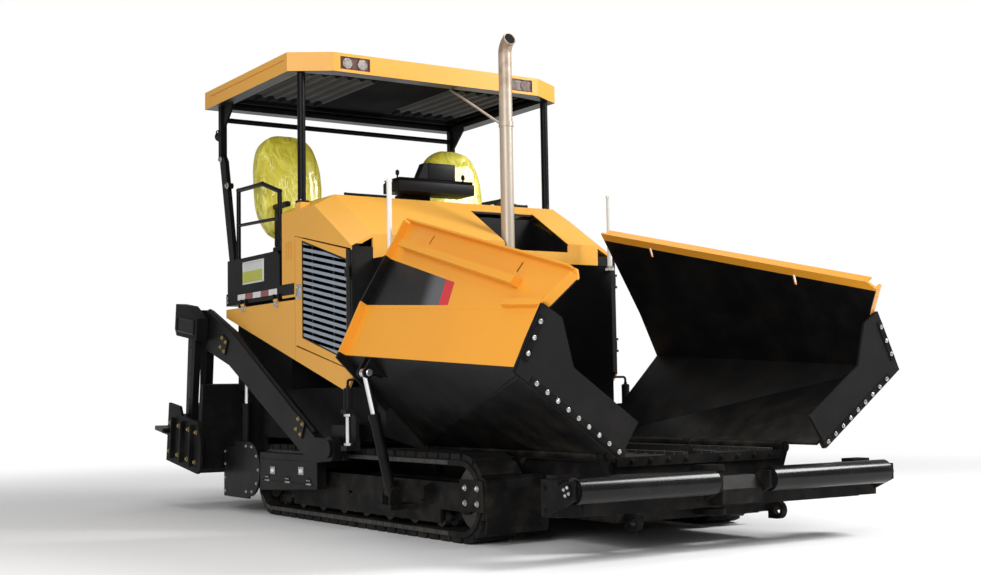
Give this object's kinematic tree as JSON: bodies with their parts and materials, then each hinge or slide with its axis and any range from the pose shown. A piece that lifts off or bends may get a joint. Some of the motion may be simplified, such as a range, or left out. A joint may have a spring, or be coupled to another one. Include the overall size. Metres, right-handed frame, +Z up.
{
  "type": "tracked asphalt paver",
  "caption": "Tracked asphalt paver with a tilting two-wing hopper, push rollers, conveyor tunnels, roofed operator station, augers and a lifted screed on tow arms.",
  "frame": {"origin": "centre of the footprint box, on the ground under the track pads", "axes": "+X to the machine's left, -Y to its front where the hopper is, +Z up"},
  "size_m": [3.2916, 6.8168, 4],
  "materials": {
    "panel_paint": "gloss",
    "black_paint": "satin",
    "grille_paint": "satin",
    "rubber": "matte",
    "steel": "worn",
    "rod_chrome": "polished",
    "exhaust_coat": "satin",
    "white_paint": "gloss",
    "lamp_glass": "clear",
    "seat_cover": "film"
  },
  "bodies": {
    "chassis": {"chassis": "black_paint", "track_frames": "black_paint", "track_right": "rubber", "track_left": "rubber", "track_wheels": "steel", "track_guards": "black_paint", "side_boxes": "black_paint", "hopper_floor": "black_paint", "conveyors": "steel", "hopper_wall": "black_paint", "hood": "panel_paint", "side_panels": "panel_paint", "platform": "black_paint", "engine": "steel", "exhaust": "exhaust_coat", "roof": "panel_paint", "roof_lining": "black_paint", "roof_posts": "black_paint", "roof_lamps": "lamp_glass", "seats": "seat_cover", "console": "black_paint", "handrails": "black_paint", "marker_rods": "white_paint", "auger_gearbox": "black_paint", "tow_points": "black_paint", "levelling_rods": "rod_chrome"},
    "push_beam": {"push_beam": "black_paint"},
    "screed": {"screed": "black_paint", "tow_arms": "black_paint", "footboard": "black_paint"},
    "wing_right": {"wing_right": "panel_paint", "wing_apron_right": "rubber"},
    "wing_barrel_right": {"wing_barrel_right": "black_paint"},
    "wing_rod_right": {"wing_rod_right": "rod_chrome"},
    "lift_barrel_right": {"lift_barrel_right": "black_paint"},
    "lift_rod_right": {"lift_rod_right": "rod_chrome"},
    "push_roller_right": {"push_roller_right": "steel"},
    "auger_right": {"auger_right": "steel"},
    "grille_door_right": {"grille_door_right": "panel_paint", "grille_right": "grille_paint"},
    "flap_right": {"flap_right": "panel_paint"},
    "wing_left": {"wing_left": "panel_paint", "wing_apron_left": "rubber"},
    "wing_barrel_left": {"wing_barrel_left": "black_paint"},
    "wing_rod_left": {"wing_rod_left": "rod_chrome"},
    "lift_barrel_left": {"lift_barrel_left": "black_paint"},
    "lift_rod_left": {"lift_rod_left": "rod_chrome"},
    "push_roller_left": {"push_roller_left": "steel"},
    "auger_left": {"auger_left": "steel"},
    "grille_door_left": {"grille_door_left": "panel_paint", "grille_left": "grille_paint"},
    "flap_left": {"flap_left": "panel_paint"}
  },
  "joints": [
    {"name": "push_beam_swing", "type": "hinge", "parent": "chassis", "child": "push_beam", "pos_m": [0, -3.06, 0.36], "axis": [0, 0, 1], "range_deg": [-5, 5]},
    {"name": "screed_lift", "type": "hinge", "parent": "chassis", "child": "screed", "pos_m": [0, -0.26, 0.6], "axis": [1, 0, 0], "range_deg": [-7.5, 0]},
    {"name": "wing_right_tilt", "type": "hinge", "parent": "chassis", "child": "wing_right", "pos_m": [-0.77, -1.9, 0.606], "axis": [0, 1, 0], "range_deg": [-22, 26]},
    {"name": "wing_barrel_right_swing", "type": "hinge", "parent": "chassis", "child": "wing_barrel_right", "pos_m": [-1.325, -1.14, 0.31], "axis": [0, 1, 0], "range_deg": [-21, 25]},
    {"name": "wing_rod_right_slide", "type": "slide", "parent": "wing_barrel_right", "child": "wing_rod_right", "axis": [-0.2308, 0, 0.973], "range_m": [-0.25, 0.28]},
    {"name": "lift_barrel_right_swing", "type": "hinge", "parent": "chassis", "child": "lift_barrel_right", "pos_m": [-1.23, 1.66, 0.45], "axis": [1, 0, 0], "range_deg": [-8, 1]},
    {"name": "lift_rod_right_slide", "type": "slide", "parent": "lift_barrel_right", "child": "lift_rod_right", "axis": [0, -0.0227, 0.9997], "range_m": [-0.27, 0.01]},
    {"name": "push_roller_right_spin", "type": "hinge", "parent": "push_beam", "child": "push_roller_right", "pos_m": [-0.78, -3.32837, 0.43], "axis": [1, 0, 0], "continuous": true},
    {"name": "auger_right_spin", "type": "hinge", "parent": "chassis", "child": "auger_right", "pos_m": [-0.6, 1.76, 0.42], "axis": [1, 0, 0], "continuous": true},
    {"name": "grille_door_right_swing", "type": "hinge", "parent": "chassis", "child": "grille_door_right", "pos_m": [-1.289, -0.44, 1.675], "axis": [0, 0, 1], "range_deg": [0, 90]},
    {"name": "flap_right_swing", "type": "hinge", "parent": "chassis", "child": "flap_right", "pos_m": [-1.283, 1.25, 1.818], "axis": [0, 1, 0], "range_deg": [0, 80]},
    {"name": "wing_left_tilt", "type": "hinge", "parent": "chassis", "child": "wing_left", "pos_m": [0.77, -1.9, 0.606], "axis": [0, -1, 0], "range_deg": [-22, 26]},
    {"name": "wing_barrel_left_swing", "type": "hinge", "parent": "chassis", "child": "wing_barrel_left", "pos_m": [1.325, -1.14, 0.31], "axis": [0, -1, 0], "range_deg": [-21, 25]},
    {"name": "wing_rod_left_slide", "type": "slide", "parent": "wing_barrel_left", "child": "wing_rod_left", "axis": [0.2308, 0, 0.973], "range_m": [-0.25, 0.28]},
    {"name": "lift_barrel_left_swing", "type": "hinge", "parent": "chassis", "child": "lift_barrel_left", "pos_m": [1.23, 1.66, 0.45], "axis": [1, 0, 0], "range_deg": [-8, 1]},
    {"name": "lift_rod_left_slide", "type": "slide", "parent": "lift_barrel_left", "child": "lift_rod_left", "axis": [0, -0.0227, 0.9997], "range_m": [-0.27, 0.01]},
    {"name": "push_roller_left_spin", "type": "hinge", "parent": "push_beam", "child": "push_roller_left", "pos_m": [0.78, -3.32837, 0.43], "axis": [1, 0, 0], "continuous": true},
    {"name": "auger_left_spin", "type": "hinge", "parent": "chassis", "child": "auger_left", "pos_m": [0.6, 1.76, 0.42], "axis": [1, 0, 0], "continuous": true},
    {"name": "grille_door_left_swing", "type": "hinge", "parent": "chassis", "child": "grille_door_left", "pos_m": [1.289, -0.44, 1.675], "axis": [0, 0, -1], "range_deg": [0, 90]},
    {"name": "flap_left_swing", "type": "hinge", "parent": "chassis", "child": "flap_left", "pos_m": [1.283, 1.25, 1.818], "axis": [0, -1, 0], "range_deg": [0, 80]}
  ],
  "couplings": [
    {"joint": "wing_barrel_right_swing", "follows": "wing_right_tilt", "ratio": 0.8033},
    {"joint": "wing_rod_right_slide", "follows": "wing_right_tilt", "m_per_rad": 0.6015},
    {"joint": "lift_barrel_right_swing", "follows": "screed_lift", "ratio": 0.8921},
    {"joint": "lift_rod_right_slide", "follows": "screed_lift", "m_per_rad": 1.9228},
    {"joint": "wing_barrel_left_swing", "follows": "wing_left_tilt", "ratio": 0.8033},
    {"joint": "wing_rod_left_slide", "follows": "wing_left_tilt", "m_per_rad": 0.6015},
    {"joint": "lift_barrel_left_swing", "follows": "screed_lift", "ratio": 0.8921},
    {"joint": "lift_rod_left_slide", "follows": "screed_lift", "m_per_rad": 1.9228}
  ]
}
